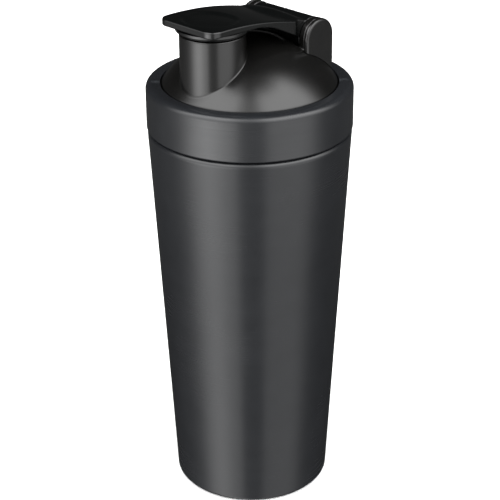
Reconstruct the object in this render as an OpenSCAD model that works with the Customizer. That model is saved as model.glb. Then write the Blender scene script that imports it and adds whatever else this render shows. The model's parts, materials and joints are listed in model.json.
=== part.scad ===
// Insulated steel protein shaker: a tapered double-walled cup, a screw lid with a
// painted collar, a domed pouring lid and a flip cap that seals the spout.
// Z is up, the origin is the middle of the base, +X runs from the spout to the hinge.

/* [Cup] */
// Outer radius of the cup just under the collar
cup_top_r = 44.6; // [44:0.1:44.8]
// Outer radius of the cup at its base
cup_base_r = 35.3; // [34:0.1:38]
// Height of the seam between the cup and the collar
seam_z = 174.8; // [150:0.2:200]
// Thickness of the steel sheet
steel_t = 0.6; // [0.5:0.1:0.8]
// Radius of the cup's shoulder under the seam
shoulder_r = 2.2; // [1.5:0.1:2.6]
// Distance from the outer wall's face to the liner's face
jacket_t = 3.6; // [3:0.1:4.5]

/* [Neck thread] */
// Outer radius of the steel neck
neck_r = 39.6; // [39.5:0.05:39.7]
// Height of the neck's rim above the seam
neck_h = 14.7; // [14.5:0.1:14.8]
// Lift of the lid in one full turn
thread_lead = 8; // [7.5:0.1:8.5]
// Angle that each of the two thread starts covers
thread_sweep = 190; // [150:5:200]
// Height of a thread ridge off its wall
thread_depth = 1.5; // [1.3:0.05:1.6]

/* [Collar] */
// Outer radius of the painted collar
collar_r = 45; // [44.9:0.05:45.4]
// Height of the collar
collar_h = 20.2; // [20:0.1:20.6]
// Radius of the collar's top edge
collar_edge_r = 2.7; // [2.2:0.1:2.9]
// Radius of the hole that the dome comes up through
collar_hole_r = 38.55; // [38.5:0.05:38.8]

/* [Lid] */
// Radius of the dome's ball
dome_r = 46; // [45.5:0.1:46.5]
// Thickness of the dome's wall
dome_t = 2; // [1.6:0.1:2.2]
// Outer radius of the spout
spout_r = 14.1; // [13.8:0.05:14.2]
// Thickness of the spout's wall
spout_t = 2; // [1.8:0.1:2]
// Distance from the cup's axis to the spout's axis
spout_x = 22; // [21:0.1:22.2]
// Height of the spout's rim
spout_z = 222; // [221:0.1:222.2]

/* [Hinge] */
// Distance from the cup's axis to the hinge
hinge_x = 22.6; // [22:0.1:23.6]
// Height of the hinge
hinge_z = 213.3; // [213:0.1:213.8]
// Radius of the hinge towers' round tops
tower_r = 8.2; // [7.8:0.1:8.4]
// Half of the gap between the two towers
tower_gap = 15.5; // [15:0.1:16]
// Thickness of one tower
tower_t = 2.9; // [2.5:0.1:3.2]
// Thickness of one tower's cover plate
cover_t = 2; // [1.6:0.1:2.4]
// Radius of the hinge pin
pin_r = 1.6; // [1.4:0.05:1.8]

/* [Flip cap] */
// Half of the cap's width over the spout
cap_half_w = 16.3; // [15.6:0.1:16.6]
// Height of the cap's front edge
cap_z = 228.7; // [228.5:0.1:229]
// Radius of the thumb dish in the cap
dish_r = 12.3; // [9:0.1:13]
// Depth of the thumb dish
dish_depth = 0.8; // [0.4:0.1:1]

/* [Hidden] */
$fn = 128;
BIG = 100;
GAP = 0.02;
paint = [0.25, 0.26, 0.28];
steel = [0.72, 0.73, 0.74];
black = [0.09, 0.09, 0.09];
rubber = [0.16, 0.16, 0.17];

// The cup's levels
foot_z = 0.5;
foot_edge_r = 2.5;
lip_r = 31;
cup_top_z = seam_z - 0.4;
wall_top_z = cup_top_z - shoulder_r;
plate_z = 1.8;
pad_r = 29.9;
liner_t = 0.5;
liner_z = 6;
liner_edge_r = 4;
rim_z = seam_z + neck_h;
taper = (cup_top_r - cup_base_r) / (wall_top_z - foot_z - foot_edge_r);
liner_base_r = cup_base_r - jacket_t + taper * (liner_z + liner_edge_r);
liner_bend_z = liner_z + liner_edge_r + (neck_r - liner_base_r) / taper;

// The lid's levels
collar_z = seam_z + 0.1;
collar_top_z = collar_z + collar_h;
collar_hole_z = collar_top_z - 0.2;
skirt_r = collar_r - steel_t - 0.1;
skirt_t = 2.9;
skirt_z = collar_z + 0.9;
deck_z = rim_z + 1.8;
deck_t = 1.2;
dome_flange_z = deck_z + deck_t + GAP;
dome_flange_t = 1.1;
dome_centre_z = hinge_z - 44.3;
dome_foot_r = collar_hole_r - 0.45;
gasket_r = 41.1;
gasket_w = 3.7;
gasket_z = rim_z + 0.1;
thread_base_z = seam_z + 4.2;

// The grid's and the seal's sizes
grid_r = 37;
grid_wall = 1.4;
grid_z = deck_z - 9.3;
grid_h = 9;
grid_bar = 1.5;
grid_bar_h = 2.2;
bore_r = spout_r - spout_t;
flange_r = 15.7;
flange_z = spout_z + 0.6;
flange_top_z = spout_z + 2.9;
cap_front_x = -38.2;
hub_r = tower_r - 0.3;
hub_half_w = tower_gap - 0.3;

// Points of an arc about (x, y) from angle a0 to angle a1
function arc(x, y, r, a0, a1, steps = 8) =
    [for (i = [0:steps]) let (a = a0 + (a1 - a0) * i / steps) [x + r * cos(a), y + r * sin(a)]];

// Points of a cubic curve with four control points
function curve(p, steps = 12) =
    [for (i = [0:steps]) let (t = i / steps, s = 1 - t)
        s * s * s * p[0] + 3 * s * s * t * p[1] + 3 * s * t * t * p[2] + t * t * t * p[3]];

// Height above the start of a thread at each angle
function helix_z(a) = thread_lead * a / 360;

// Ridge height at each angle: it rises out of the wall and sinks back into it
function ridge(a) = thread_depth * min(1, a / 18, (thread_sweep - a) / 18);

// One thread ridge round a wall. side is 1 for a ridge outside the wall, -1 inside it.
module thread_start(wall_r, side, z) {
    step = 6;
    rings = floor(thread_sweep / step) + 1;
    root_w = 1;
    crest_w = 0.5;
    sink = 0.3;
    section = [for (i = [0:rings - 1]) let (a = thread_sweep * i / (rings - 1), h = ridge(a) - 0.15)
        for (p = [[-sink, -root_w], [h, -crest_w], [h, crest_w], [-sink, root_w]])
            let (r = wall_r + side * p[0]) [r * cos(a), r * sin(a), z + helix_z(a) + p[1]]];
    quad = side > 0 ? [0, 1, 2, 3] : [3, 2, 1, 0];
    sides = [for (i = [0:rings - 2], k = [0:3]) let (m = (k + 1) % 4)
        [4 * i + quad[k], 4 * i + quad[m], 4 * i + 4 + quad[m], 4 * i + 4 + quad[k]]];
    last = 4 * (rings - 1);
    ends = [[for (k = [3:-1:0]) quad[k]], [for (k = [0:3]) last + quad[k]]];
    polyhedron(points = section, faces = concat(sides, ends), convexity = 6);
}

module thread(wall_r, side, z) {
    for (turn = [0, 180]) rotate([0, 0, turn]) thread_start(wall_r, side, z);
}

module outer_shell() {
    inner_r = cup_base_r - steel_t;
    color(paint) rotate_extrude() polygon(concat(
        [[lip_r, foot_z]],
        arc(cup_base_r - foot_edge_r, foot_z + foot_edge_r, foot_edge_r, -90, 0),
        arc(cup_top_r - shoulder_r, wall_top_z, shoulder_r, 0, 90),
        [[neck_r + GAP, cup_top_z], [neck_r + GAP, cup_top_z - steel_t]],
        arc(cup_top_r - shoulder_r, wall_top_z, shoulder_r - steel_t, 90, 0),
        arc(inner_r - foot_edge_r + steel_t, foot_z + foot_edge_r, foot_edge_r - steel_t, 0, -90),
        [[lip_r, foot_z + steel_t]]));
}

module liner_wall() {
    in_base_r = liner_base_r - liner_t;
    in_neck_r = neck_r - liner_t;
    rim_r = liner_t / 2;
    rotate_extrude() polygon(concat(
        [[0, liner_z]],
        arc(liner_base_r - liner_edge_r, liner_z + liner_edge_r, liner_edge_r, -90, 0),
        [[neck_r, liner_bend_z]],
        arc(neck_r - rim_r, rim_z - rim_r, rim_r, 0, 180),
        [[in_neck_r, liner_bend_z]],
        arc(in_base_r - liner_edge_r + liner_t, liner_z + liner_edge_r, liner_edge_r - liner_t, 0, -90),
        [[0, liner_z + liner_t]]));
}

module inner_liner() {
    color(steel) union() {
        liner_wall();
        thread(neck_r, 1, thread_base_z);
    }
}

module bottom_plate() {
    hole_r = 1;
    color(steel) difference() {
        translate([0, 0, foot_z]) cylinder(r = lip_r - GAP, h = plate_z + steel_t - foot_z);
        translate([0, 0, foot_z - 1]) cylinder(r = lip_r - steel_t, h = plate_z - foot_z + 1);
        cylinder(r = hole_r, h = 2 * liner_z);
    }
}

module getter_cup() {
    cup_r = 7;
    cup_h = 1.8;
    floor_t = 0.5;
    color(steel) translate([0, 0, plate_z + steel_t + GAP]) difference() {
        cylinder(r = cup_r, h = cup_h);
        translate([0, 0, floor_t]) cylinder(r = cup_r - floor_t, h = cup_h);
        translate([0, 0, -1]) cylinder(r = 1.5, h = cup_h);
    }
}

module seal_bead() {
    bead_r = 2.2;
    color(steel) union() {
        translate([0, 0, plate_z - 0.6]) cylinder(r = bead_r, h = 0.58);
        translate([0, 0, plate_z - 0.2]) cylinder(r = 1 - GAP, h = steel_t + 0.2);
    }
}

module base_pad() {
    edge = 0.4;
    color(rubber) difference() {
        rotate_extrude() polygon([[0, 0], [pad_r - edge, 0], [pad_r, edge],
            [pad_r, plate_z - GAP], [0, plate_z - GAP]]);
        translate([0, 0, plate_z - 0.8]) cylinder(r = 2.6, h = 2);
    }
}

module collar() {
    in_r = collar_r - steel_t;
    edge_z = collar_top_z - collar_edge_r;
    edge_x = collar_r - collar_edge_r;
    hem = 0.6;
    color(paint) rotate_extrude() polygon(concat(
        [[in_r, collar_z], [collar_r - hem, collar_z], [collar_r, collar_z + hem]],
        arc(edge_x, edge_z, collar_edge_r, 0, 90),
        [[collar_hole_r, collar_hole_z], [collar_hole_r, collar_hole_z - steel_t]],
        arc(edge_x, edge_z, collar_edge_r - steel_t, 90, 0)));
}

module thread_ring() {
    wall_r = skirt_r - skirt_t;
    socket_r = grid_r - grid_wall - 0.2;
    socket_t = 1.2;
    // The lid's ridges lie half-way between the neck's
    ridge_z = thread_base_z - thread_lead / 4;
    color(black) union() {
        rotate_extrude() polygon([[wall_r, skirt_z], [skirt_r, skirt_z], [skirt_r, deck_z + deck_t],
            [socket_r - socket_t, deck_z + deck_t], [socket_r - socket_t, deck_z - 4],
            [socket_r, deck_z - 4], [socket_r, deck_z], [wall_r, deck_z]]);
        thread(wall_r, -1, ridge_z);
    }
}

module lid_gasket() {
    lip = 0.5;
    in_r = gasket_r - gasket_w;
    top_z = deck_z - 0.05;
    color(rubber) rotate_extrude() polygon([[in_r + lip, gasket_z], [gasket_r - lip, gasket_z],
        [gasket_r, gasket_z + lip], [gasket_r, top_z], [in_r, top_z], [in_r, gasket_z + lip]]);
}

// One flat ring of the grid
module grid_hoop(r, wall, h) {
    difference() {
        cylinder(r = r, h = h);
        translate([0, 0, -1]) cylinder(r = r - wall, h = h + 2);
    }
}

module mixing_grid() {
    spokes = 12;
    hoop_step = 7.2;
    color(black) translate([0, 0, grid_z]) union() {
        grid_hoop(grid_r, grid_wall, grid_h);
        for (k = [1:4]) grid_hoop(grid_r - k * hoop_step, grid_bar, grid_bar_h);
        for (k = [0:spokes - 1]) rotate([0, 0, 360 * k / spokes])
            translate([grid_r - 4 * hoop_step - grid_bar, -grid_bar / 2, 0])
                cube([4 * hoop_step + grid_bar - grid_wall / 2, grid_bar, grid_bar_h]);
    }
}

// Outline of a hinge tower seen along the hinge: a round top on straight sides
module tower_outline(r) {
    translate([hinge_x, hinge_z]) circle(r = r);
    translate([hinge_x - r, collar_hole_z + 1.6]) square([2 * r, hinge_z - collar_hole_z - 1.6]);
}

// A slab across the hinge between two Y positions
module hinge_slab(y0, y1) {
    translate([0, y1, 0]) rotate([90, 0, 0]) linear_extrude(y1 - y0) children();
}

module towers() {
    for (side = [-1, 1]) {
        y0 = side > 0 ? tower_gap : -tower_gap - tower_t;
        hinge_slab(y0, y0 + tower_t) tower_outline(tower_r - 0.1);
    }
}

module ball(r) {
    translate([0, 0, dome_centre_z]) sphere(r = r);
}

// Cylinder along the hinge axis
module hinge_rod(r, half) {
    translate([hinge_x, half, hinge_z]) rotate([90, 0, 0]) cylinder(r = r, h = 2 * half);
}

module dome_saddle() {
    intersection() {
        hinge_rod(tower_r + 2.1, tower_gap + 1.5);
        ball(dome_r);
    }
}

module lid_dome() {
    base_z = dome_flange_z + dome_flange_t;
    color(black) difference() {
        union() {
            difference() {
                union() {
                    intersection() {
                        ball(dome_r);
                        translate([0, 0, dome_flange_z]) cylinder(r = dome_foot_r, h = BIG);
                    }
                    translate([0, 0, dome_flange_z]) cylinder(r = skirt_r - 0.7, h = dome_flange_t);
                    translate([-spout_x, 0, base_z]) cylinder(r = spout_r, h = spout_z - base_z);
                    towers();
                }
                ball(dome_r - dome_t);
            }
            dome_saddle();
        }
        translate([-spout_x, 0, base_z]) cylinder(r = bore_r, h = BIG);
        hinge_rod(tower_r + 0.4, tower_gap);
        hinge_rod(pin_r, BIG);
    }
}

// Plate that covers one tower and the pin's end
module hinge_cover(side) {
    face = tower_gap + tower_t + 0.05;
    y0 = side > 0 ? face : -face - cover_t;
    color(black) difference() {
        hinge_slab(y0, y0 + cover_t) tower_outline(tower_r);
        ball(dome_r + 0.05);
        hinge_rod(pin_r + 0.05, face + 0.5);
    }
}

module hinge_cover_left() { hinge_cover(-1); }

module hinge_cover_right() { hinge_cover(1); }

module hinge_pin() {
    color(steel) hinge_rod(pin_r - 0.01, tower_gap + tower_t + 0.4);
}

// Side view of the flip cap's pad and arm
module cap_side() {
    top = [[cap_front_x, cap_z], [-6, cap_z - 0.1], [9, cap_z - 6.1], [hinge_x, hinge_z + hub_r]];
    arch = [[13.6, 214.8], [4, 219.3], [-2, 224.2], [-12, cap_z - 4]];
    polygon(concat(curve(top), [[hinge_x, hinge_z]], curve(arch), [[cap_front_x, cap_z - 3.3]]));
}

// Plan of the flip cap: wide over the spout, just narrower than the towers at the hinge
module cap_plan() {
    corner = 7;
    for (side = [-1, 1])
        translate([cap_front_x + corner, side * (cap_half_w - corner)]) circle(r = corner);
    translate([cap_front_x, corner - cap_half_w]) square([2 * corner, 2 * (cap_half_w - corner)]);
    translate([cap_front_x + corner, -cap_half_w]) square([6 - cap_front_x - corner, 2 * cap_half_w]);
    translate([0, -hub_half_w]) square([hinge_x + hub_r, 2 * hub_half_w]);
}

module flip_cap() {
    color(black) difference() {
        union() {
            intersection() {
                hinge_slab(-cap_half_w, cap_half_w) cap_side();
                linear_extrude(3 * BIG) cap_plan();
            }
            hinge_rod(hub_r, hub_half_w);
        }
        translate([-spout_x - 1.5, 0, cap_z - 0.9 - dish_depth]) cylinder(r = dish_r, h = 5);
        translate([-spout_x, 0, spout_z]) cylinder(r = flange_r + 0.15, h = flange_top_z + 0.05 - spout_z);
        translate([-spout_x, 0, spout_z]) cylinder(r = 8.05, h = flange_top_z + 1.05 - spout_z);
        hinge_rod(pin_r + 0.05, BIG);
    }
}

module spout_plug() {
    core_r = 9.8;
    core_z = spout_z - 3.4;
    color(black) translate([-spout_x, 0, 0]) rotate_extrude() polygon([[0, core_z],
        [core_r, core_z], [core_r, flange_z], [flange_r - 1.4, flange_z],
        [flange_r, flange_z + 1.1], [flange_r, flange_top_z], [8, flange_top_z],
        [8, flange_top_z + 1], [0, flange_top_z + 1]]);
}

module spout_seal() {
    in_r = 9.85;
    low_z = spout_z - 3.2;
    color(rubber) translate([-spout_x, 0, 0]) rotate_extrude() polygon([[in_r, low_z],
        [bore_r - 0.8, low_z], [bore_r - 0.35, low_z + 2.4], [bore_r - 0.6, low_z + 3.3],
        [in_r, low_z + 3.3]]);
}

outer_shell();
inner_liner();
bottom_plate();
getter_cup();
seal_bead();
base_pad();
collar();
thread_ring();
lid_gasket();
mixing_grid();
lid_dome();
hinge_cover_left();
hinge_cover_right();
hinge_pin();
flip_cap();
spout_plug();
spout_seal();
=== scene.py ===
# %% [markdown]
# # A steel protein shaker with a flip cap
# This lesson dresses a finished engineering model as a real bottle. The engineering model is the frame:
# it gives every place, size and joint.

# %% Load the frame
import json
import math

import bpy
import numpy as np
from mathutils import Matrix, Vector


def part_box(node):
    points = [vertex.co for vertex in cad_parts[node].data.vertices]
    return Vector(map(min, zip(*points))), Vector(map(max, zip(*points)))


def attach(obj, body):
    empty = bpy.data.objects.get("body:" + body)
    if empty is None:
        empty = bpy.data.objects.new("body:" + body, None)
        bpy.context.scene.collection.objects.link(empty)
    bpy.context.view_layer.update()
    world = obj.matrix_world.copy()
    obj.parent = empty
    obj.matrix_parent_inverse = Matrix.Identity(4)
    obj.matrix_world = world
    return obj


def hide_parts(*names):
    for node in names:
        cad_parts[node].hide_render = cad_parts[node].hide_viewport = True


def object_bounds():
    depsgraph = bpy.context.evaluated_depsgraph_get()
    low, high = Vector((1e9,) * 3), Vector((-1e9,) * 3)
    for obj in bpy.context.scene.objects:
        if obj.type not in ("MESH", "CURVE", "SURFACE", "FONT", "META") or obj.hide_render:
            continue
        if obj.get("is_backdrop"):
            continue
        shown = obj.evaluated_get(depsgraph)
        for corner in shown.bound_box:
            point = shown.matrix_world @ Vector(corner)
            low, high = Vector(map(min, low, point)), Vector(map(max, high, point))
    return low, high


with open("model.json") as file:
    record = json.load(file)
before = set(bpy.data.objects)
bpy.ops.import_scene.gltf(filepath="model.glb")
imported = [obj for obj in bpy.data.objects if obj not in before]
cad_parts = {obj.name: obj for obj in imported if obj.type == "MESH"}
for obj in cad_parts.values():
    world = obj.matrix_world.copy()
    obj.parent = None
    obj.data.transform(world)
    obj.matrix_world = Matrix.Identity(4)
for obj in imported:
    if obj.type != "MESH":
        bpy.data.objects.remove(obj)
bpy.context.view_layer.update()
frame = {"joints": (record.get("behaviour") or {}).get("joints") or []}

# %% [markdown]
# Shapes are easier to think about in millimetres, so every outline below is in millimetres and is
# scaled once, when its mesh is made. The driving sizes are read back from the frame, so a change in
# the engineering model moves the looks with it.

# %% Sizes read from the frame
MM = 0.001


def box_mm(node):
    """Lowest and highest corner of an engineering piece, in millimetres."""
    low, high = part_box(node)
    return low / MM, high / MM


shell_low, shell_high = box_mm("outer_shell")
liner_low, liner_high = box_mm("inner_liner")
_, pad_high = box_mm("base_pad")
collar_low, collar_high = box_mm("collar")
ring_low, ring_high = box_mm("thread_ring")
gasket_low, gasket_high = box_mm("lid_gasket")
grid_low, grid_high = box_mm("mixing_grid")
dome_low, dome_high = box_mm("lid_dome")
cover_low, cover_high = box_mm("hinge_cover_right")
_, pin_high = box_mm("hinge_pin")
cap_low, cap_high = box_mm("flip_cap")
plug_low, plug_high = box_mm("spout_plug")
seal_low, seal_high = box_mm("spout_seal")

joints = {joint["name"]: joint for joint in frame["joints"]}
hinge_x, _, hinge_z = (value / MM for value in joints["cap_flip"]["pos_m"])
thread_lead = joints["lid_lift"]["range_m"][1] / MM
spout_x = (plug_low.x + plug_high.x) / 2
collar_r = collar_high.x
print(f"hinge at x {hinge_x:.1f}, z {hinge_z:.1f}; spout at x {spout_x:.1f}")
print(f"one turn of the lid lifts it {thread_lead:.1f} mm")

# %% [markdown]
# ## Camera
# A product shot is taken from well back with a long lens, so that the bottle's sides stay nearly
# parallel. The camera is placed by its distance, height and compass direction round the bottle, and its
# three axes are written straight into its matrix, which avoids puzzling over rotation orders. A tiny
# slide of the lens does the last of the framing.

# %% Camera
CAMERA_REACH = 14.937 * collar_r
CAMERA_HEIGHT = 9.876 * collar_r
CAMERA_TURN = math.radians(46)
CAMERA_PITCH = math.radians(26.20)
CAMERA_ROLL = math.radians(-0.355)
LENS = 119.14
SLIDE_X, SLIDE_Y = -0.0013, -0.0019


def place_camera():
    heading = Vector((math.sin(CAMERA_TURN), math.cos(CAMERA_TURN), 0))
    forward = heading * math.cos(CAMERA_PITCH) + Vector((0, 0, -math.sin(CAMERA_PITCH)))
    level_right = forward.cross(Vector((0, 0, 1))).normalized()
    level_up = level_right.cross(forward)
    right = level_right * math.cos(CAMERA_ROLL) + level_up * math.sin(CAMERA_ROLL)
    up = right.cross(forward)
    data = bpy.data.cameras.new("product_camera")
    data.lens = LENS
    data.sensor_width = 36
    data.shift_x = SLIDE_X
    data.shift_y = SLIDE_Y
    data.clip_start = 0.05
    data.clip_end = 30
    camera = bpy.data.objects.new("product_camera", data)
    bpy.context.scene.collection.objects.link(camera)
    rotation = Matrix((right, up, -forward)).transposed().to_4x4()
    place = (-heading * CAMERA_REACH + Vector((0, 0, CAMERA_HEIGHT))) * MM
    camera.matrix_world = Matrix.Translation(place) @ rotation
    bpy.context.scene.camera = camera
    return place


print("camera stands at", [round(v, 3) for v in place_camera()])

# %% [markdown]
# ## Turning outlines into round pieces
# Most of a bottle is made on a lathe or by spinning sheet metal, so one helper covers most pieces: it
# spins an outline round an upright axis. The outline is a short list of corners, each with its own
# rounding, because real edges are never sharp: a tiny fillet is what catches the light.

# %% Lathe helpers
ROUND = 224


def rounded(corners, steps=6):
    """A closed outline from (radius, height, fillet) corners, each corner swept by an arc."""
    points = []
    count = len(corners)
    for index, (r, z, fillet) in enumerate(corners):
        here = Vector((r, z))
        before = Vector(corners[index - 1][:2]) - here
        after = Vector(corners[(index + 1) % count][:2]) - here
        if fillet <= 0 or before.length < 1e-6 or after.length < 1e-6:
            points.append(tuple(here))
            continue
        half = before.angle(after) / 2
        reach = min(fillet / math.tan(half), before.length * 0.49, after.length * 0.49)
        radius = reach * math.tan(half)
        middle = (before.normalized() + after.normalized()).normalized()
        centre = here + middle * (radius / math.sin(half))
        start = here + before.normalized() * reach - centre
        end = here + after.normalized() * reach - centre
        turn = start.angle_signed(end)
        for step in range(steps + 1):
            angle = -turn * step / steps
            arm = Vector((start.x * math.cos(angle) - start.y * math.sin(angle),
                          start.x * math.sin(angle) + start.y * math.cos(angle)))
            points.append(tuple(centre + arm))
    return points


def fine(points, longest, zone=None, close=0.3, guard=0.15):
    """The same outline in shorter stretches. Points close to each corner keep shading flat between
    corners, and a zone of heights that gets pushed about is cut as fine as close."""
    out = []
    for (r0, z0), (r1, z1) in zip(points, points[1:] + points[:1]):
        length = math.hypot(r1 - r0, z1 - z0)
        pushed = zone and zone[0] <= (z0 + z1) / 2 <= zone[1] and abs(z1 - z0) > close
        parts = max(1, math.ceil(length / (close if pushed else longest)))
        shares = [k / parts for k in range(parts)]
        if length > 4 * guard and not pushed:
            shares = sorted(set(shares + [guard / length, 1 - guard / length]))
        out += [(r0 + (r1 - r0) * s, z0 + (z1 - z0) * s) for s in shares]
    return out


def new_piece(name, points, faces, body, stands_for, slot):
    mesh = bpy.data.meshes.new(name)
    mesh.from_pydata([tuple(c * MM for c in p) for p in points], [], faces)
    mesh.validate()
    mesh.shade_smooth()
    piece = bpy.data.objects.new(name, mesh)
    bpy.context.scene.collection.objects.link(piece)
    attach(piece, body)
    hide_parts(*stands_for)
    print(f"{name}: {len(mesh.vertices)} points, {len(mesh.polygons)} faces")
    return piece


def spin(outline, centre=(0, 0), around=ROUND, push=None):
    """Spins a closed outline round an upright axis. push(r, z, angle) may move a point in or out."""
    points, faces, rows = [], [], []
    for r, z in outline:
        if r < 1e-4:
            rows.append([len(points)] * around)
            points.append((centre[0], centre[1], z))
            continue
        rows.append(list(range(len(points), len(points) + around)))
        for k in range(around):
            angle = 2 * math.pi * k / around
            reach = r + (push(r, z, angle) if push else 0)
            points.append((centre[0] + reach * math.cos(angle), centre[1] + reach * math.sin(angle), z))
    for row, above in zip(rows, rows[1:] + rows[:1]):
        for k in range(around):
            m = (k + 1) % around
            face = []
            for corner in (row[k], row[m], above[m], above[k]):
                if corner not in face:
                    face.append(corner)
            if len(face) > 2:
                faces.append(face)
    return points, faces

# %% [markdown]
# ## Turning rules into moulded pieces
# The dome with its spout and towers, and the flip cap, are injection moulded: round forms that run into
# each other with small fillets. Boolean modifiers would leave ragged, unshadeable edges there. Instead
# each piece is written as a rule that says how far any point in space is from its surface. Rules blend
# softly with one line of arithmetic.

# %% Rules for solid forms
def soft_join(a, b, k):
    """Joins two forms and fills the corner between them with a fillet of about k."""
    h = np.clip(0.5 + 0.5 * (b - a) / k, 0, 1)
    return b + (a - b) * h - k * h * (1 - h)


def soft_cut(a, b, k):
    """Keeps only what is in both forms and rounds the edge where they meet."""
    return -soft_join(-a, -b, k)


def smooth_step(x, low, high):
    t = np.clip((x - low) / (high - low), 0, 1)
    return t * t * (3 - 2 * t)

# %% [markdown]
# The net puts one point in every small cell that the surface passes through, and one quad across every
# cell edge that it cuts. The raw points sit unevenly, so they are spread out and slid back onto the
# surface a few times.

# %% Surface net
def rise_of(rule, x, y, z, tiny):
    """How much the rule grows along each axis over a stretch of twice tiny."""
    return np.stack([rule(x + tiny, y, z) - rule(x - tiny, y, z),
                     rule(x, y + tiny, z) - rule(x, y - tiny, z),
                     rule(x, y, z + tiny) - rule(x, y, z - tiny)], axis=1)


def settle(rule, points, step):
    """Slides points onto the zero level along the rule's slope."""
    tiny = step * 0.05
    for _ in range(2):
        x, y, z = points.T
        level = rule(x, y, z)
        slope = rise_of(rule, x, y, z, tiny) / (2 * tiny)
        size = np.maximum((slope ** 2).sum(1), 0.05)
        move = slope * (level / size)[:, None]
        points = points - np.clip(move, -step * 0.5, step * 0.5)
    return points


def even_out(points, quads):
    """Moves each point half-way to the middle of its neighbours."""
    total = np.zeros_like(points)
    count = np.zeros(len(points))
    for a in range(4):
        for b in (quads[:, (a + 1) % 4], quads[:, (a - 1) % 4]):
            np.add.at(total, quads[:, a], points[b])
            np.add.at(count, quads[:, a], 1)
    return points + 0.5 * (total / count[:, None] - points)


def net(rule, low, high, step, relax=4):
    """Points and quads of the surface where rule(x, y, z) is zero, inside a box."""
    axes = [np.arange(low[i] - 1.5 * step, high[i] + 1.6 * step, step) for i in range(3)]
    grid = rule(*np.meshgrid(*axes, indexing="ij"))
    inside = grid < 0
    shape = np.array(grid.shape) - 1
    total = np.zeros((*shape, 3))
    count = np.zeros(shape)
    corners = [(i, j, k) for i in (0, 1) for j in (0, 1) for k in (0, 1)]

    def part(values, c):
        return values[c[0]:c[0] + shape[0], c[1]:c[1] + shape[1], c[2]:c[2] + shape[2]]

    for c in corners:
        for axis in range(3):
            if c[axis]:
                continue
            d = tuple(v + (i == axis) for i, v in enumerate(c))
            crossing = part(inside, c) != part(inside, d)
            va, vb = part(grid, c)[crossing], part(grid, d)[crossing]
            where = np.zeros((len(va), 3)) + np.array(c)
            where[:, axis] += va / (va - vb)
            total[crossing] += where
            count[crossing] += 1
    cells = count > 0
    number = np.full(shape, -1)
    number[cells] = np.arange(cells.sum())
    base = np.stack(np.nonzero(cells), axis=1)
    points = (base + total[cells] / count[cells][:, None]) * step + np.array([a[0] for a in axes])
    quads = []
    for axis in range(3):
        u, v = (axis + 1) % 3, (axis + 2) % 3
        first = [slice(1, -1)] * 3
        first[axis] = slice(0, -1)
        second = list(first)
        second[axis] = slice(1, None)
        a, b = inside[tuple(first)], inside[tuple(second)]
        for flip, change in ((False, a & ~b), (True, ~a & b)):
            cell = np.stack(np.nonzero(change), axis=1)
            cell[:, u] += 1
            cell[:, v] += 1
            ring = []
            for du, dv in ((-1, -1), (0, -1), (0, 0), (-1, 0)):
                near = cell.copy()
                near[:, u] += du
                near[:, v] += dv
                ring.append(number[tuple(near.T)])
            quads.append(np.stack(ring[::-1] if flip else ring, axis=1))
    quads = np.concatenate(quads)
    for turn in range(relax + 1):
        if turn:
            points = even_out(points, quads)
        points = settle(rule, points, step)
    return points.tolist(), quads.tolist()

# %% [markdown]
# ## The cup
# The outer wall is one spun shell: a tapered wall, a small rounding at the foot and a rounded shoulder
# that turns in to the neck. The seam under the collar is a real gap, so its dark line comes from shade.

# %% Outer shell
SHELL_T = 0.6
TAPER_FOOT_R = 35.3
TAPER_FROM_Z = 3
TAPER_TO_Z = 172.2
shell_lip_r = 31
neck_hole_r = 39.62
shell_taper = (shell_high.x - TAPER_FOOT_R) / (TAPER_TO_Z - TAPER_FROM_Z)


def wall_r(z):
    """Radius of the cup's outer wall at a height."""
    return TAPER_FOOT_R + shell_taper * (z - TAPER_FROM_Z)


foot_z, shoulder_z = shell_low.z, shell_high.z
shell_outline = rounded([
    (shell_lip_r, foot_z, 0.15), (wall_r(foot_z), foot_z, 2.2), (wall_r(shoulder_z), shoulder_z, 2.1),
    (neck_hole_r, shoulder_z, 0.05), (neck_hole_r, shoulder_z - SHELL_T, 0.05),
    (wall_r(shoulder_z) - SHELL_T - 0.1, shoulder_z - SHELL_T, 1.5),
    (wall_r(foot_z) - SHELL_T, foot_z + SHELL_T, 1.6), (shell_lip_r, foot_z + SHELL_T, 0.15)], steps=10)
outer_shell = new_piece("cup_outer_shell", *spin(fine(shell_outline, 12)), "cup", ["outer_shell"],
                        "painted_steel")

# %% [markdown]
# Under the foot sit a stamped plate, a tiny cup of gas-catching metal and a fused bead that closes the
# jacket, then a silicone pad. Three fine grooves in the pad grip a wet table and print no mark.

# %% Parts under the foot
plate_low, plate_high = box_mm("bottom_plate")
getter_low, getter_high = box_mm("getter_cup")
bead_low, bead_high = box_mm("seal_bead")
pad_edge, pad_top = pad_high.x, pad_high.z

plate_outline = rounded([
    (1, plate_high.z - SHELL_T, 0.05), (plate_high.x - SHELL_T, plate_high.z - SHELL_T, 0.3),
    (plate_high.x - SHELL_T, plate_low.z, 0.1), (plate_high.x, plate_low.z, 0.1),
    (plate_high.x, plate_high.z, 0.6), (1, plate_high.z, 0.05)])
bottom_plate = new_piece("cup_bottom_plate", *spin(fine(plate_outline, 12)), "cup", ["bottom_plate"],
                         "brushed_steel")

getter_outline = rounded([
    (1.5, getter_low.z, 0.05), (getter_high.x, getter_low.z, 0.35), (getter_high.x, getter_high.z, 0.2),
    (getter_high.x - 0.5, getter_high.z, 0.2), (getter_high.x - 0.5, getter_low.z + 0.5, 0.2),
    (1.5, getter_low.z + 0.5, 0.05)])
getter_cup = new_piece("cup_getter", *spin(fine(getter_outline, 4), around=96), "cup", ["getter_cup"],
                       "brushed_steel")

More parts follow.
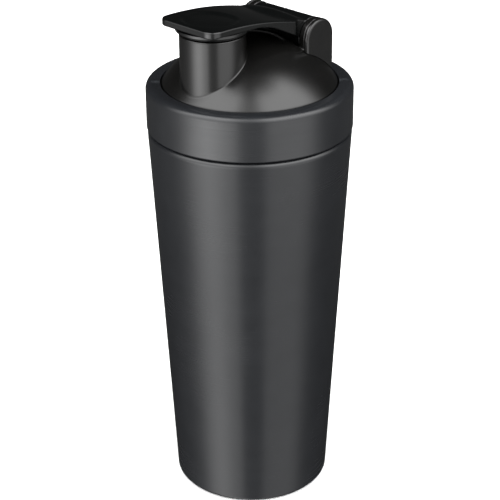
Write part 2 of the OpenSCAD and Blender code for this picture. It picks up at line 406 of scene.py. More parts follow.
bead_outline = rounded([
    (0, bead_low.z, 0), (bead_high.x, bead_low.z, 0.4), (bead_high.x, plate_high.z - SHELL_T - 0.02, 0.12),
    (0.98, plate_high.z - SHELL_T - 0.02, 0.02), (0.98, bead_high.z, 0.2), (0, bead_high.z, 0)])
seal_bead = new_piece("cup_seal_bead", *spin(fine(bead_outline, 1), around=64), "cup", ["seal_bead"],
                      "seal_glass")

grooves = []
for groove_r in (24.4, 26.0, 27.6):
    grooves += [(groove_r, 0, 0.1), (groove_r + 0.2, 0.35, 0.1), (groove_r + 0.6, 0.35, 0.1),
                (groove_r + 0.8, 0, 0.1)]
pad_outline = rounded([
    (0, 0.45, 0), (22.2, 0.45, 0.2), (22.8, 0, 0.2), *grooves, (pad_edge, 0, 0.4), (pad_edge, pad_top, 0.1),
    (2.6, pad_top, 0.05), (2.6, pad_top - 0.8, 0.1), (0, pad_top - 0.8, 0)], steps=4)
base_pad = new_piece("cup_base_pad", *spin(fine(pad_outline, 6)), "cup", ["base_pad"], "base_rubber")

# %% [markdown]
# ## Threads
# The neck's thread is rolled into the sheet: a ridge outside is a groove inside. A spun mesh gets it by
# pushing each point out or in by a height that depends on its own angle and level, so the ridge climbs
# one lead in a full turn and fades into the wall at both ends. The same rule cuts the lid's thread.

# %% Liner with its rolled thread
THREAD_RISE = 1.35
THREAD_SWEEP = 190
THREAD_FADE = 18
THREAD_HALF_W = 1.05
THREAD_FLANK = 0.6
NECK_R = -liner_low.x - THREAD_RISE
NECK_LOW_Z, NECK_HIGH_Z = 176.6, 185.6
JACKET = 3.6
neck_thread_z = shell_high.z + 4.6
rim_z = liner_high.z


def ridge(z, angle, first_z, rise):
    """Height of a two-start thread ridge over its wall at a level and an angle."""
    height = 0
    for start in (0, 180):
        a = (math.degrees(angle) - start) % 360
        if a > THREAD_SWEEP:
            continue
        off = abs(z - first_z - thread_lead * a / 360)
        flank = min(max((THREAD_HALF_W - off) / THREAD_FLANK, 0), 1)
        fade = min(1, a / THREAD_FADE, (THREAD_SWEEP - a) / THREAD_FADE)
        height = max(height, rise * fade * flank * flank * (3 - 2 * flank))
    return height


liner_t = 0.5
liner_foot_r = TAPER_FOOT_R - JACKET + shell_taper * 10
liner_bend_z = 10 + (NECK_R - liner_foot_r) / shell_taper
liner_outline = rounded([
    (0, liner_low.z, 0), (liner_foot_r - shell_taper * 4, liner_low.z, 4), (NECK_R, liner_bend_z, 30),
    (NECK_R, NECK_LOW_Z, 0), (NECK_R, NECK_HIGH_Z, 0), (NECK_R, rim_z, 0.24),
    (NECK_R - liner_t, rim_z, 0.24), (NECK_R - liner_t, NECK_HIGH_Z, 0),
    (NECK_R - liner_t, NECK_LOW_Z, 0), (NECK_R - liner_t, liner_bend_z, 30),
    (liner_foot_r - liner_t - shell_taper * 4, liner_low.z + liner_t, 3.5), (0, liner_low.z + liner_t, 0)],
    steps=8)
inner_liner = new_piece(
    "cup_inner_liner",
    *spin(fine(liner_outline, 8, zone=(NECK_LOW_Z, NECK_HIGH_Z)),
          push=lambda r, z, a: ridge(z, a, neck_thread_z, THREAD_RISE) if r > 38 else 0),
    "cup", ["inner_liner"], "brushed_steel")

# %% [markdown]
# ## The lid's round parts
# The painted collar is drawn steel like the cup, so it has a generous top radius and a fine hem at its
# lower edge, where the seam lies. Inside are the threaded ring and the soft gasket.

# %% Collar, threaded ring and gasket
collar_base_z, collar_top_z = collar_low.z, collar_high.z
HOLE_R = 38.55
hole_z = collar_top_z - 0.2
collar_in_r = collar_r - SHELL_T
collar_outline = rounded([
    (collar_in_r, collar_base_z, 0.08), (collar_r, collar_base_z + 0.6, 0.35),
    (collar_r, collar_top_z, 2.7),
    (HOLE_R, hole_z, 0.2), (HOLE_R, hole_z - SHELL_T, 0.1), (collar_in_r, collar_top_z - SHELL_T, 2.1)],
    steps=12)
collar = new_piece("lid_collar", *spin(fine(collar_outline, 6), around=288), "lid", ["collar"],
                   "painted_steel")

RING_T = 2.9
RING_THREAD_HIGH_Z = 183.2
ring_r, ring_wall_r = ring_high.x, ring_high.x - RING_T
deck_z = ring_high.z - 1.2
socket_r = 35.4
ring_outline = rounded([
    (ring_wall_r, ring_low.z, 0.4), (ring_r, ring_low.z, 0.3), (ring_r, ring_high.z, 0.2),
    (socket_r - 1.2, ring_high.z, 0.2), (socket_r - 1.2, deck_z - 4, 0.2), (socket_r, deck_z - 4, 0.2),
    (socket_r, deck_z, 0.2), (ring_wall_r, deck_z, 0.3), (ring_wall_r, RING_THREAD_HIGH_Z, 0),
    (ring_wall_r, NECK_LOW_Z, 0)], steps=4)
ring_thread_z = neck_thread_z - thread_lead / 4


def ring_push(r, z, angle):
    """The lid's thread stands inwards from the ring's inner wall only."""
    return -ridge(z, angle, ring_thread_z, THREAD_RISE) if abs(r - ring_wall_r) < 0.1 else 0


thread_ring = new_piece(
    "lid_thread_ring",
    *spin(fine(ring_outline, 5, zone=(NECK_LOW_Z, RING_THREAD_HIGH_Z)), push=ring_push),
    "lid", ["thread_ring"], "satin_plastic")

gasket_outline = rounded([
    (gasket_high.x - 3.7, gasket_low.z, 0.5), (gasket_high.x, gasket_low.z, 0.5),
    (gasket_high.x, gasket_high.z, 0.1), (gasket_high.x - 3.7, gasket_high.z, 0.1)])
lid_gasket = new_piece("lid_sealing_gasket", *spin(fine(gasket_outline, 2)), "gasket", ["lid_gasket"],
                       "seal_rubber")

# %% [markdown]
# ## The dome, its spout and the hinge towers
# One moulding. The rule starts with a ball, joins the spout and the two towers with small fillets, and
# then hollows the whole form, so that the wall is the same everywhere, as a moulder needs.

# %% Dome, spout and towers
BALL_R = 46.0
BALL_Z = hinge_z - 44.3
SPOUT_R = 14.1
BORE_R = 12.1
TOWER_GAP = 15.5
TOWER_T = 2.9
TOWER_R = 8.1
HUB_R = 7.9
DOME_T = 2
DOME_RING_R = 43.6
DOME_RING_HALF = 0.55
SADDLE_MORE = 2.1
spout_rim_z = plug_low.z + 3.4
flange_ring_z = dome_low.z


def tower_outline(x, z, r):
    """Side outline of a tower: a round top on straight sides."""
    return np.hypot(x - hinge_x, np.maximum(z - hinge_z, 0)) - r


def dome_rule(x, y, z):
    r = np.hypot(x, y)
    side = np.abs(y)
    ball = np.sqrt(r * r + (z - BALL_Z) ** 2)
    rod = np.hypot(x - hinge_x, z - hinge_z)
    spout = np.hypot(x - spout_x, y)
    form = soft_cut(ball - BALL_R, r - (HOLE_R - 0.45), 0.4)
    form = soft_join(form, soft_cut(spout - SPOUT_R, z - spout_rim_z, 0.7), 0.5)
    slab = np.abs(side - TOWER_GAP - TOWER_T / 2) - TOWER_T / 2
    form = soft_join(form, soft_cut(tower_outline(x, z, TOWER_R), slab, 0.7), 0.9)
    ring = soft_cut(r - DOME_RING_R, np.abs(z - flange_ring_z - DOME_RING_HALF) - DOME_RING_HALF, 0.2)
    form = soft_join(np.maximum(form, flange_ring_z - z), ring, 0.3)
    form = soft_cut(form, BALL_R - DOME_T - ball, 0.3)
    saddle = np.maximum(rod - TOWER_R - SADDLE_MORE, side - TOWER_GAP - 1.5)
    saddle = np.maximum(saddle, ball - BALL_R)
    form = soft_join(form, saddle, 0.3)
    form = soft_cut(form, BORE_R - spout, 0.6)
    trough = np.maximum(rod - TOWER_R - 0.5, side - TOWER_GAP)
    form = soft_cut(form, -trough, 0.3)
    return soft_cut(form, pin_high.z - hinge_z + 0.02 - rod, 0.1)


def net_piece(name, rule, low, high, step, body, stands_for, slot):
    """A piece meshed from a rule, with its shading normals taken from the rule's slope."""
    points, quads = net(rule, low, high, step)
    piece = new_piece(name, points, quads, body, stands_for, slot)
    at = np.array([v.co for v in piece.data.vertices]) / MM
    x, y, z = at.T
    tiny = 0.04
    slope = rise_of(rule, x, y, z, tiny)
    slope /= np.maximum(np.linalg.norm(slope, axis=1), 1e-9)[:, None]
    piece.data.normals_split_custom_set_from_vertices(slope.tolist())
    return piece


DETAIL = 1.0
lid_dome = net_piece("lid_dome_and_spout", dome_rule, dome_low, dome_high, 0.42 * DETAIL, "lid",
                     ["lid_dome"], "satin_plastic")

# %% [markdown]
# A thin plate snaps over each tower and hides the pin's end. It is a little wider than the tower and
# sits a little lower. Its broad outer rounding gives the bright rim that sets it off from the tower
# behind, and its foot follows the dome's ball.

# %% Hinge covers and pin
COVER_T = cover_high.y - cover_low.y
COVER_MORE = 0.5
COVER_DROP = 0.4


def cover_rule(direction):
    inner = cover_low.y

    def rule(x, y, z):
        out = y * direction
        ball = np.sqrt(x * x + y * y + (z - BALL_Z) ** 2)
        outline = tower_outline(x, z + COVER_DROP, TOWER_R + COVER_MORE)
        form = soft_cut(outline, out - inner - COVER_T, 1.5)
        form = soft_cut(form, inner - out, 0.5)
        form = soft_cut(form, BALL_R + 0.05 - ball, 0.3)
        form = soft_cut(form, cover_low.z - z, 0.2)
        socket = np.maximum(np.hypot(x - hinge_x, z - hinge_z) - pin_high.z + hinge_z - 0.06,
                            out - pin_high.y - 0.15)
        return np.maximum(form, -socket)
    return rule


brim = Vector((COVER_MORE, 0, 0))
hinge_covers = []
for side, direction in (("left", -1), ("right", 1)):
    node = "hinge_cover_" + side
    low, high = box_mm(node)
    hinge_covers.append(net_piece("lid_" + node, cover_rule(direction), low - brim, high + brim,
                                  0.3 * DETAIL, "lid", [node], "satin_plastic"))

pin_r, pin_half = pin_high.z - hinge_z, pin_high.y
pin_points, pin_faces = spin(fine(rounded([
    (0, -pin_half, 0), (pin_r, -pin_half, 0.3), (pin_r, pin_half, 0.3), (0, pin_half, 0)]), 4), around=64)
pin_points = [(hinge_x + x, -z, hinge_z + y) for x, y, z in pin_points]
hinge_pin = new_piece("lid_hinge_pin", pin_points, pin_faces, "lid", ["hinge_pin"], "pin_steel")

# %% [markdown]
# ## The flip cap
# One lever does three jobs: a pad closes the spout, an arm reaches back, and a hub turns between the
# towers. Its side view is two curves, so the rule stores them as fine tables and reads them back. A
# shallow dish takes the thumb, and a rib under the front edge gives the thumb something to push.

# %% Flip cap
CAP_HALF_W = cap_high.y
HUB_HALF_W = TOWER_GAP - 0.3
CAP_CORNER = 5.2
DISH_R, DISH_FLOOR_R, DISH_DEPTH = 12.7, 10.4, 0.85
SWELL_X, SWELL_Z = 12.4, 223.7
RIB_H = 0.4
STUB_HOLE_R = 8.05
cap_front_x, cap_top_z = cap_low.x, cap_high.z


def cubic(p0, p1, p2, p3, count=400):
    """Fine table of a cubic curve through its four control points."""
    t = np.linspace(0, 1, count)[:, None]
    p0, p1, p2, p3 = (np.array(p, float) for p in (p0, p1, p2, p3))
    return (1 - t) ** 3 * p0 + 3 * (1 - t) ** 2 * t * p1 + 3 * (1 - t) * t * t * p2 + t ** 3 * p3


pad_line = cubic((cap_front_x, cap_top_z), (-18, cap_top_z - 0.1), (-1, cap_top_z - 2.1), (24, 218.5))
arch_line = np.vstack([[(cap_front_x, cap_top_z - 2.6)],
                       cubic((-12, cap_top_z - 4), (-2, 224.0), (4, 219.1), (13.6, 214.8)),
                       [(hinge_x, hinge_z)]])


def cap_rule(x, y, z):
    side = np.abs(y)
    rod = np.hypot(x - hinge_x, z - hinge_z)
    dish = smooth_step(np.hypot(x - spout_x + 1.5, y), DISH_R, DISH_FLOOR_R)
    pad = np.interp(x, *pad_line.T) - DISH_DEPTH * dish
    bend = np.where(x > SWELL_X, 0.055, 0.024)
    swell = SWELL_Z - bend * (x - SWELL_X) ** 2 - 1.3 * (y / 15.3) ** 2 * smooth_step(x, 23, 15)
    top = -soft_join(-pad, -swell, 0.3)
    under = np.interp(x, *arch_line.T) - RIB_H * smooth_step(x, -34.6, -36.2)
    width = CAP_HALF_W - (CAP_HALF_W - HUB_HALF_W) * smooth_step(x, 11, 14)
    ahead, beside = cap_front_x + CAP_CORNER - x, side - width + CAP_CORNER
    plan = np.hypot(np.maximum(ahead, 0), np.maximum(beside, 0)) - CAP_CORNER
    plan = plan + np.minimum(np.maximum(ahead, beside), 0)
    form = soft_cut(soft_cut(z - top, plan, 1.0), under - z, 0.6)
    form = np.maximum(form, x - hinge_x)
    form = soft_join(form, soft_cut(rod - HUB_R, side - HUB_HALF_W, 0.5), 0.8)
    from_spout = np.hypot(x - spout_x, y)
    pocket = np.maximum(from_spout - plug_high.x + spout_x - 0.15, z - plug_high.z + 0.95)
    stub = np.maximum(from_spout - STUB_HOLE_R, z - plug_high.z - 0.05)
    form = soft_cut(form, -pocket, 0.2)
    form = np.maximum(form, -stub)
    return soft_cut(form, pin_high.z - hinge_z + 0.06 - rod, 0.1)


flip_cap = net_piece("cap_lever", cap_rule, cap_low, cap_high, 0.32 * DETAIL, "cap", ["flip_cap"],
                     "gloss_plastic")

# %% [markdown]
# Under the pad a bevelled disc carries the plug, and a silicone sleeve with two soft lips wipes the
# spout's bore as the plug goes in.

# %% Plug and its seal
plug_r = plug_high.x - spout_x
disc_z, disc_top_z = spout_rim_z + 0.6, plug_high.z - 1
plug_outline = rounded([
    (0, plug_low.z, 0), (9.8, plug_low.z, 0.7), (9.8, disc_z, 0.3), (plug_r - 1.4, disc_z, 0.35),
    (plug_r, disc_z + 1.1, 0.35), (plug_r, disc_top_z, 0.15), (8, disc_top_z, 0.1), (8, plug_high.z, 0.2),
    (0, plug_high.z, 0)])
spout_plug = new_piece("cap_spout_plug", *spin(fine(plug_outline, 3), (spout_x, 0), 160), "cap",
                       ["spout_plug"], "gloss_plastic")

SLEEVE_IN_R = 9.85
seal_r = seal_high.x - spout_x
seal_outline = rounded([
    (SLEEVE_IN_R, seal_low.z, 0.1), (seal_r - 0.5, seal_low.z, 0.3), (seal_r - 0.05, seal_low.z + 0.9, 0.3),
    (seal_r - 0.5, seal_low.z + 1.6, 0.3), (seal_r, seal_low.z + 2.4, 0.3),
    (seal_r - 0.3, seal_high.z, 0.3), (SLEEVE_IN_R, seal_high.z, 0.1)])
spout_seal = new_piece("cap_spout_seal", *spin(fine(seal_outline, 2), (spout_x, 0), 160), "cap",
                       ["spout_seal"], "seal_rubber")

# %% [markdown]
# The mixing grid is a moulded strainer: a tall outer hoop that snaps into the lid, four low hoops and
# twelve spokes. Powder lumps break on its edges, so they are rounded only as much as a mould rounds them.

# %% Mixing grid
GRID_R = grid_high.x
GRID_HOOP_STEP = 7.2
BAR = 1.5
BAR_H = 2.2
SPOKES = 12


def grid_rule(x, y, z):
    r = np.hypot(x, y)
    up = z - grid_low.z
    wall = soft_cut(np.abs(r - GRID_R + 0.7) - 0.7, np.abs(up - 4.5) - 4.5, 0.3)
    bars = np.full_like(r, 9.0)
    for k in range(1, 5):
        bars = np.minimum(bars, np.abs(r - GRID_R + k * GRID_HOOP_STEP + BAR / 2) - BAR / 2)
    turn = math.pi * 2 / SPOKES
    angle = np.arctan2(y, x)
    across = r * np.sin(angle - turn * np.round(angle / turn))
    spoke = np.maximum(np.abs(across) - BAR / 2, np.maximum(r - GRID_R + 0.7, 7 - r))
    bars = soft_join(bars, spoke, 0.5)
    bars = soft_cut(bars, np.abs(up - BAR_H / 2) - BAR_H / 2, 0.4)
    return soft_join(wall, bars, 0.5)


mixing_grid = net_piece("grid_strainer", grid_rule, grid_low, grid_high, 0.5 * DETAIL, "grid",
                        ["mixing_grid"], "grid_plastic")

# %% [markdown]
# ## Materials
# Each material is a small tree of nodes. Effects that several finishes share are node groups, built once
# here and placed with their own values: a fine grain, worn edges, smudges from handling and turned lines.

# %% Node helpers
def feed(tree, node, inputs):
    """Fills a node's sockets. inputs maps a socket's name or number to a value or to another output."""
    for key, value in inputs.items():
        if isinstance(value, bpy.types.NodeSocket):
            tree.links.new(value, node.inputs[key])
        else:
            node.inputs[key].default_value = value
    return node


def add(tree, kind, inputs=None, **settings):
    """Adds a node and fills its sockets."""
    made = tree.nodes.new(kind)
    for key, value in settings.items():
        setattr(made, key, value)
    return feed(tree, made, inputs or {})


def new_group(name, takes, gives):
    """An empty shader group with named float or vector inputs and float outputs."""
    tree = bpy.data.node_groups.new(name, "ShaderNodeTree")
    for socket, value in takes.items():
        kind = "NodeSocketVector" if value is None else "NodeSocketFloat"
        made = tree.interface.new_socket(name=socket, in_out="INPUT", socket_type=kind)
        if value is not None:
            made.default_value = value
    for socket in gives:
        tree.interface.new_socket(name=socket, in_out="OUTPUT", socket_type="NodeSocketFloat")
    return tree, tree.nodes.new("NodeGroupInput").outputs, tree.nodes.new("NodeGroupOutput").inputs


def place(tree, group, inputs):
    """Places a group in a material."""
    made = tree.nodes.new("ShaderNodeGroup")
    made.node_tree = group
    return feed(tree, made, inputs).outputs


def span(tree, value, low, high, to_low, to_high):
    """Maps a varying value from one range to another."""
    return add(tree, "ShaderNodeMapRange", {"Value": value, "From Min": low, "From Max": high,
                                            "To Min": to_low, "To Max": to_high}).outputs["Result"]

# %% [markdown]
# Grain is two sizes of noise: the small one gives the bumps and the large one the drift of colour. Worn
# edges come from the mesh's pointiness, broken up with noise so that wear is never an even outline. Smudges
# are large soft patches that only change gloss.
# Turned lines stretch a noise round the axis, as a lathe or a polishing belt does.

# %% Shared effects
grain, given, out = new_group("fine_grain", {"Vector": None, "Size": 1500.0}, ["Height", "Shade"])
small = add(grain, "ShaderNodeTexNoise", {"Vector": given["Vector"], "Scale": given["Size"], "Detail": 3.0})
large = add(grain, "ShaderNodeTexNoise", {"Vector": given["Vector"], "Scale": 90.0, "Detail": 4.0})
grain.links.new(small.outputs["Fac"], out["Height"])
grain.links.new(span(grain, large.outputs["Fac"], 0.3, 0.7, 0.0, 1.0), out["Shade"])

wear, given, out = new_group("edge_wear", {"Vector": None, "Start": 0.52, "Full": 0.6}, ["Worn"])
sharp = add(wear, "ShaderNodeNewGeometry").outputs["Pointiness"]
edge = add(wear, "ShaderNodeMapRange", {"Value": sharp, "From Min": given["Start"],
                                        "From Max": given["Full"]}).outputs["Result"]
patchy = add(wear, "ShaderNodeTexNoise", {"Vector": given["Vector"], "Scale": 260.0, "Detail": 5.0})
broken = span(wear, patchy.outputs["Fac"], 0.42, 0.62, 0.15, 1.0)
both = add(wear, "ShaderNodeMath", {0: edge, 1: broken}, operation="MULTIPLY")
wear.links.new(both.outputs[0], out["Worn"])

smudge, given, out = new_group("handling_smudges", {"Vector": None, "Size": 22.0}, ["Smudge"])
soft = add(smudge, "ShaderNodeTexNoise", {"Vector": given["Vector"], "Scale": given["Size"], "Detail": 5.0,
                                          "Roughness": 0.6, "Distortion": 0.6})
smudge.links.new(span(smudge, soft.outputs["Fac"], 0.35, 0.7, 0.0, 1.0), out["Smudge"])

turned, given, out = new_group("turned_lines", {"Vector": None, "Fineness": 4000.0}, ["Lines"])
part_of = add(turned, "ShaderNodeSeparateXYZ", {0: given["Vector"]}).outputs
reach = add(turned, "ShaderNodeMath", {0: part_of["X"], 1: part_of["X"]}, operation="MULTIPLY").outputs[0]
reach = add(turned, "ShaderNodeMath", {0: part_of["Y"], 1: part_of["Y"], 2: reach},
            operation="MULTIPLY_ADD").outputs[0]
reach = add(turned, "ShaderNodeMath", {0: reach}, operation="SQRT").outputs[0]
level = add(turned, "ShaderNodeMath", {0: part_of["Z"], 1: reach}, operation="ADD").outputs[0]
drawn = add(turned, "ShaderNodeCombineXYZ", {"X": part_of["X"], "Y": part_of["Y"]}).outputs[0]
drawn = add(turned, "ShaderNodeVectorMath", {0: drawn, "Scale": 9.0}, operation="SCALE").outputs[0]
level = add(turned, "ShaderNodeMath", {0: level, 1: given["Fineness"]}, operation="MULTIPLY").outputs[0]
level = add(turned, "ShaderNodeCombineXYZ", {"Z": level}).outputs[0]
drawn = add(turned, "ShaderNodeVectorMath", {0: drawn, 1: level}, operation="ADD").outputs[0]
streak = add(turned, "ShaderNodeTexNoise", {"Vector": drawn, "Scale": 1.0, "Detail": 3.0})
turned.links.new(streak.outputs["Fac"], out["Lines"])
print("shared effects:", [group.name for group in bpy.data.node_groups])

# %% [markdown]
# Every finish here differs only in its colours, gloss and the strength of each effect, so one function
# builds them all. Values that vary over the surface come through nodes. Plain values are set on the
# shader's own sockets, where an exporter can find them.

# %% Finishes
def finish(name, dark, pale, worn, gloss, grain_size, bump, lines=0.0, metallic=0.0, specular=0.5,
           fineness=4000.0, wear_from=(0.53, 0.62), coat=0.0):
    """dark and pale are the two ends of the colour's drift, worn the colour of rubbed edges, and gloss
    the roughness from the cleanest spot to the most handled one."""
    material = bpy.data.materials.new(name)
    material.use_nodes = True
    tree = material.node_tree
    shader = tree.nodes["Principled BSDF"]
    where = add(tree, "ShaderNodeTexCoord").outputs["Object"]
    fine_grain = place(tree, grain, {"Vector": where, "Size": grain_size})
    rubbed = place(tree, wear, {"Vector": where, "Start": wear_from[0], "Full": wear_from[1]})["Worn"]
    smudged = place(tree, smudge, {"Vector": where})["Smudge"]
    streaks = place(tree, turned, {"Vector": where, "Fineness": fineness})["Lines"]
    drift = tree.nodes.new("ShaderNodeMix")
    drift.data_type = "RGBA"
    tree.links.new(fine_grain["Shade"], drift.inputs["Factor"])
    drift.inputs[6].default_value = (*dark, 1)
    drift.inputs[7].default_value = (*pale, 1)
    edged = tree.nodes.new("ShaderNodeMix")
    edged.data_type = "RGBA"
    tree.links.new(rubbed, edged.inputs["Factor"])
    tree.links.new(drift.outputs[2], edged.inputs[6])
    edged.inputs[7].default_value = (*worn, 1)
    tree.links.new(edged.outputs[2], shader.inputs["Base Color"])
    rough = span(tree, smudged, 0.0, 1.0, gloss[0], gloss[1])
    streaky = span(tree, streaks, 0.3, 0.7, -0.05 * lines, 0.05 * lines)
    rough = add(tree, "ShaderNodeMath", {0: rough, 1: streaky}, operation="ADD").outputs[0]
    polished = span(tree, rubbed, 0.0, 1.0, 0.0, -0.06)
    rough = add(tree, "ShaderNodeMath", {0: rough, 1: polished}, operation="ADD").outputs[0]
    tree.links.new(rough, shader.inputs["Roughness"])
    height = add(tree, "ShaderNodeMath", {0: streaks, 1: lines, 2: fine_grain["Height"]},
                 operation="MULTIPLY_ADD").outputs[0]
    bumped = add(tree, "ShaderNodeBump", {"Strength": bump, "Distance": 0.00002, "Height": height})
    tree.links.new(bumped.outputs["Normal"], shader.inputs["Normal"])
    shader.inputs["Metallic"].default_value = metallic
    shader.inputs["Specular IOR Level"].default_value = specular
    shader.inputs["Coat Weight"].default_value = coat
    return material


def give(material, *pieces):
    for piece in pieces:
        piece.data.materials.clear()
        piece.data.materials.append(material)

# %% [markdown]
# The paint is a touch bluer than the plastics, and the plastics are nearly black, so that almost all
# the light on them is reflection. Steel and rubber show only when the lid is off or the bottle is tipped.

# %% Colours and who wears them
paint = finish("anthracite_paint", (0.0078, 0.0084, 0.0096), (0.0095, 0.0102, 0.0116),
               (0.026, 0.028, 0.031), (0.21, 0.27), 2600.0, 0.25, lines=0.6, fineness=3000.0)
steel = finish("brushed_stainless", (0.54, 0.54, 0.55), (0.66, 0.66, 0.66), (0.75, 0.75, 0.75),
               (0.24, 0.36), 1800.0, 0.5, lines=2.0, metallic=1.0)
satin = finish("satin_black_plastic", (0.0022, 0.0022, 0.0021), (0.0032, 0.0031, 0.0029),
               (0.016, 0.016, 0.016), (0.19, 0.26), 2600.0, 0.4)
glossy = finish("gloss_black_plastic", (0.0010, 0.0012, 0.0012), (0.0016, 0.0019, 0.0019),
                (0.02, 0.02, 0.02), (0.16, 0.24), 2200.0, 0.25)
grid_finish = finish("dark_grey_plastic", (0.04, 0.04, 0.042), (0.055, 0.055, 0.058), (0.09, 0.09, 0.09),
                     (0.34, 0.42), 2000.0, 0.5)
seal_rubber = finish("soft_grey_silicone", (0.05, 0.05, 0.054), (0.068, 0.068, 0.073), (0.1, 0.1, 0.1),
                     (0.5, 0.62), 1500.0, 0.8, specular=0.35)
base_rubber = finish("matt_black_silicone", (0.024, 0.024, 0.026), (0.036, 0.036, 0.038),
                     (0.06, 0.06, 0.06), (0.55, 0.7), 1200.0, 0.9, specular=0.3)
pin_steel = finish("turned_pin_steel", (0.52, 0.52, 0.52), (0.64, 0.64, 0.64), (0.7, 0.7, 0.7),
                   (0.18, 0.26), 1800.0, 0.3, lines=1.0, metallic=1.0)
bead_glass = finish("fused_bead", (0.16, 0.16, 0.18), (0.24, 0.24, 0.26), (0.3, 0.3, 0.3),
                    (0.1, 0.2), 900.0, 0.4, specular=0.6)

give(paint, outer_shell, collar)
give(steel, inner_liner, bottom_plate, getter_cup)
give(satin, thread_ring, lid_dome, *hinge_covers)
give(glossy, flip_cap, spout_plug)
give(grid_finish, mixing_grid)
give(seal_rubber, lid_gasket, spout_seal)
give(base_rubber, base_pad)
give(pin_steel, hinge_pin)
give(bead_glass, seal_bead)
print("finishes:", [material.name for material in bpy.data.materials])

# %% [markdown]
# ## Light
# A dark glossy bottle is drawn by what it reflects, so a studio wraps it in tall soft lights with a dark
# gap between them. Here that tent is painted on the sky in two layers. The lower layer is what upright
# walls mirror: bright at the left, dimmer at the right. The upper layer is what the dome mirrors. Each
# is a table of brightness against compass direction, times a table against height.

# %% Brightness tables
# Degrees from the camera's direction, with right positive, and the brightness there
LOW_AROUND = [(-180, 0.03), (-150, 0.03), (-125, 0.06), (-100, 0.16), (-84, 0.4), (-74, 0.9),
              (-64, 1.7), (-50, 2.5), (-40, 2.35), (-28, 1.7), (-17, 1.4), (-12, 0.5), (-6, 0.31),
              (8, 0.28), (15, 0.36), (21, 0.98), (30, 1.02), (58, 1.0), (70, 0.75), (78, 0.4), (90, 0.15),
              (110, 0.07), (150, 0.03), (180, 0.03)]
HIGH_AROUND = [(-180, 0.02), (-125, 0.03), (-108, 0.15), (-100, 0.3), (-86, 3.5), (-75, 5.2), (-25, 5.2),
               (-12, 2.4), (0, 1.4), (12, 2.4), (22, 5.2), (82, 5.2), (90, 4.6), (97, 3.0), (104, 1.0),
               (112, 0.3), (122, 0.08), (180, 0.02)]
# Degrees above the horizon, and the share of the layer's brightness there
LOW_LIFT = [(-90, 0.9), (-36, 0.95), (-30, 1.0), (-22, 2.35), (-10, 1.6), (5, 0.7), (22, 0.0), (90, 0.0)]
HIGH_LIFT = [(-90, 0.0), (-8, 0.0), (15, 0.45), (35, 0.95), (60, 1.0), (68, 0.4), (76, 0.08), (90, 0.03)]
print("stops in the sky's tables:", [len(t) for t in (LOW_AROUND, HIGH_AROUND, LOW_LIFT, HIGH_LIFT)])

# %% [markdown]
# The sky's direction is turned to the camera's frame once, then split into a compass angle and a height.
# Only the camera sees a plain pale sky instead, so that the backdrop stays even.

# %% Sky nodes
def table_ramp(tree, share, table, low, high):
    """A colour ramp that reads a table of (degrees, value), and the factor that undoes its scaling."""
    made = add(tree, "ShaderNodeValToRGB", {"Fac": share})
    stops = made.color_ramp.elements
    stops.remove(stops[1])
    peak = max(value for _, value in table)
    for index, (degrees, value) in enumerate(table):
        spot = (degrees - low) / (high - low)
        stop = stops[0] if index == 0 else stops.new(spot)
        stop.position = spot
        stop.color = (*[value / peak] * 3, 1)
    return made.outputs["Color"], peak


def layer(tree, compass, height, around, lift):
    level, peak = table_ramp(tree, compass, around, -180, 180)
    fade, top = table_ramp(tree, height, lift, -90, 90)
    both = add(tree, "ShaderNodeMath", {0: level, 1: fade}, operation="MULTIPLY").outputs[0]
    return add(tree, "ShaderNodeMath", {0: both, 1: peak * top}, operation="MULTIPLY").outputs[0]


def sky_light():
    world = bpy.data.worlds.new("soft_studio")
    bpy.context.scene.world = world
    world.use_nodes = True
    tree = world.node_tree
    tree.nodes.clear()
    way = add(tree, "ShaderNodeTexCoord").outputs["Generated"]
    turn = math.atan2(-math.cos(CAMERA_TURN), -math.sin(CAMERA_TURN))
    facing = add(tree, "ShaderNodeVectorRotate", {"Vector": way, "Angle": -turn}, rotation_type="Z_AXIS")
    part_of = add(tree, "ShaderNodeSeparateXYZ", {0: facing.outputs[0]}).outputs
    compass = add(tree, "ShaderNodeMath", {0: part_of["Y"], 1: part_of["X"]}, operation="ARCTAN2")
    compass = span(tree, compass.outputs[0], -math.pi, math.pi, 0.0, 1.0)
    height = add(tree, "ShaderNodeMath", {0: part_of["Z"]}, operation="ARCSINE").outputs[0]
    height = span(tree, height, -math.pi / 2, math.pi / 2, 0.0, 1.0)
    low_light = layer(tree, compass, height, LOW_AROUND, LOW_LIFT)
    high_light = layer(tree, compass, height, HIGH_AROUND, HIGH_LIFT)
    light = add(tree, "ShaderNodeMath", {0: low_light, 1: high_light}, operation="ADD").outputs[0]
    soft = add(tree, "ShaderNodeBackground", {"Color": (1, 1, 1, 1), "Strength": light})
    pale = add(tree, "ShaderNodeBackground", {"Color": (1, 1, 1, 1), "Strength": 0.95})
    seen = add(tree, "ShaderNodeLightPath").outputs["Is Camera Ray"]
    mixed = add(tree, "ShaderNodeMixShader", {0: seen, 1: soft.outputs[0], 2: pale.outputs[0]})
    add(tree, "ShaderNodeOutputWorld", {0: mixed.outputs[0]})


sky_light()
bpy.context.scene.view_settings.view_transform = "Standard"
print("sky nodes:", len(bpy.context.scene.world.node_tree.nodes))

# %% [markdown]
# A wide lamp overhead lifts the faces that look up and whitens the paper. It is kept out of reflections,
# so that the dome's top stays dark, as it does under a black studio ceiling.

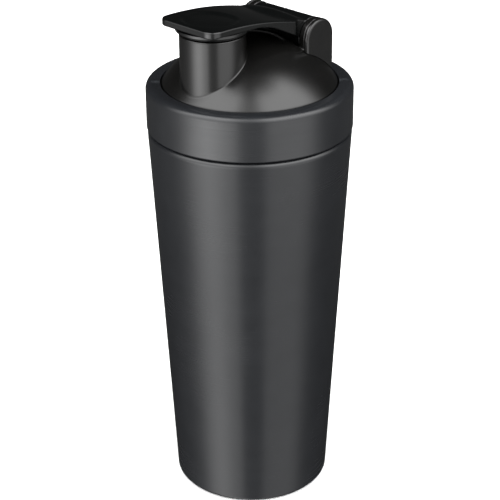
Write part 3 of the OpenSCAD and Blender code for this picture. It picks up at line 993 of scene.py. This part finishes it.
# %% Overhead lamp
lamp_data = bpy.data.lights.new("overhead", "AREA")
lamp_data.shape = "DISK"
lamp_data.size = 1.6
lamp_data.energy = 27.0
lamp = bpy.data.objects.new("overhead", lamp_data)
lamp.location = (0, 0, 1.6)
lamp.visible_glossy = False
lamp.visible_camera = False
bpy.context.scene.collection.objects.link(lamp)
print(f"overhead lamp: {lamp_data.energy:.0f} W, {lamp_data.size:.1f} m across")

# %% [markdown]
# The floor is one wide sheet of pale paper. Glossy rays pass through it, so that the bottle's lower half
# mirrors the lights and not the paper, as it would on a table narrower than the tent.

# %% Paper floor
FLOOR_R = 14.0
mesh = bpy.data.meshes.new("paper_floor")
ring = [(FLOOR_R * math.cos(a), FLOOR_R * math.sin(a), 0) for a in np.linspace(0, 2 * math.pi, 97)[:-1]]
mesh.from_pydata(ring, [], [list(range(96))])
floor = bpy.data.objects.new("paper_floor", mesh)
bpy.context.scene.collection.objects.link(floor)
floor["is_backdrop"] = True
floor.visible_glossy = False
floor.visible_shadow = False
floor.visible_diffuse = False
paper = bpy.data.materials.new("pale_paper")
paper.use_nodes = True
paper_shader = paper.node_tree.nodes["Principled BSDF"]
fibre = add(paper.node_tree, "ShaderNodeTexNoise", {"Scale": 40.0, "Detail": 4.0,
            "Vector": add(paper.node_tree, "ShaderNodeTexCoord").outputs["Object"]}).outputs["Fac"]
tone = add(paper.node_tree, "ShaderNodeValToRGB", {"Fac": fibre})
tone.color_ramp.elements[0].color = (0.86, 0.86, 0.86, 1)
tone.color_ramp.elements[1].color = (0.9, 0.9, 0.9, 1)
paper.node_tree.links.new(tone.outputs["Color"], paper_shader.inputs["Base Color"])
paper_shader.inputs["Roughness"].default_value = 0.9
paper_shader.inputs["Specular IOR Level"].default_value = 0.1
paper_shader.inputs["Emission Color"].default_value = (1, 1, 1, 1)
paper_shader.inputs["Emission Strength"].default_value = 0.1
mesh.materials.append(paper)
print(f"paper floor: {2 * FLOOR_R:.0f} m across")

# %% [markdown]
# The visual model's overall size is printed, in millimetres.

# %% Sizes and finish
low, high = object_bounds()
print("visual model is", [round(v * 1000, 1) for v in high - low], "mm")
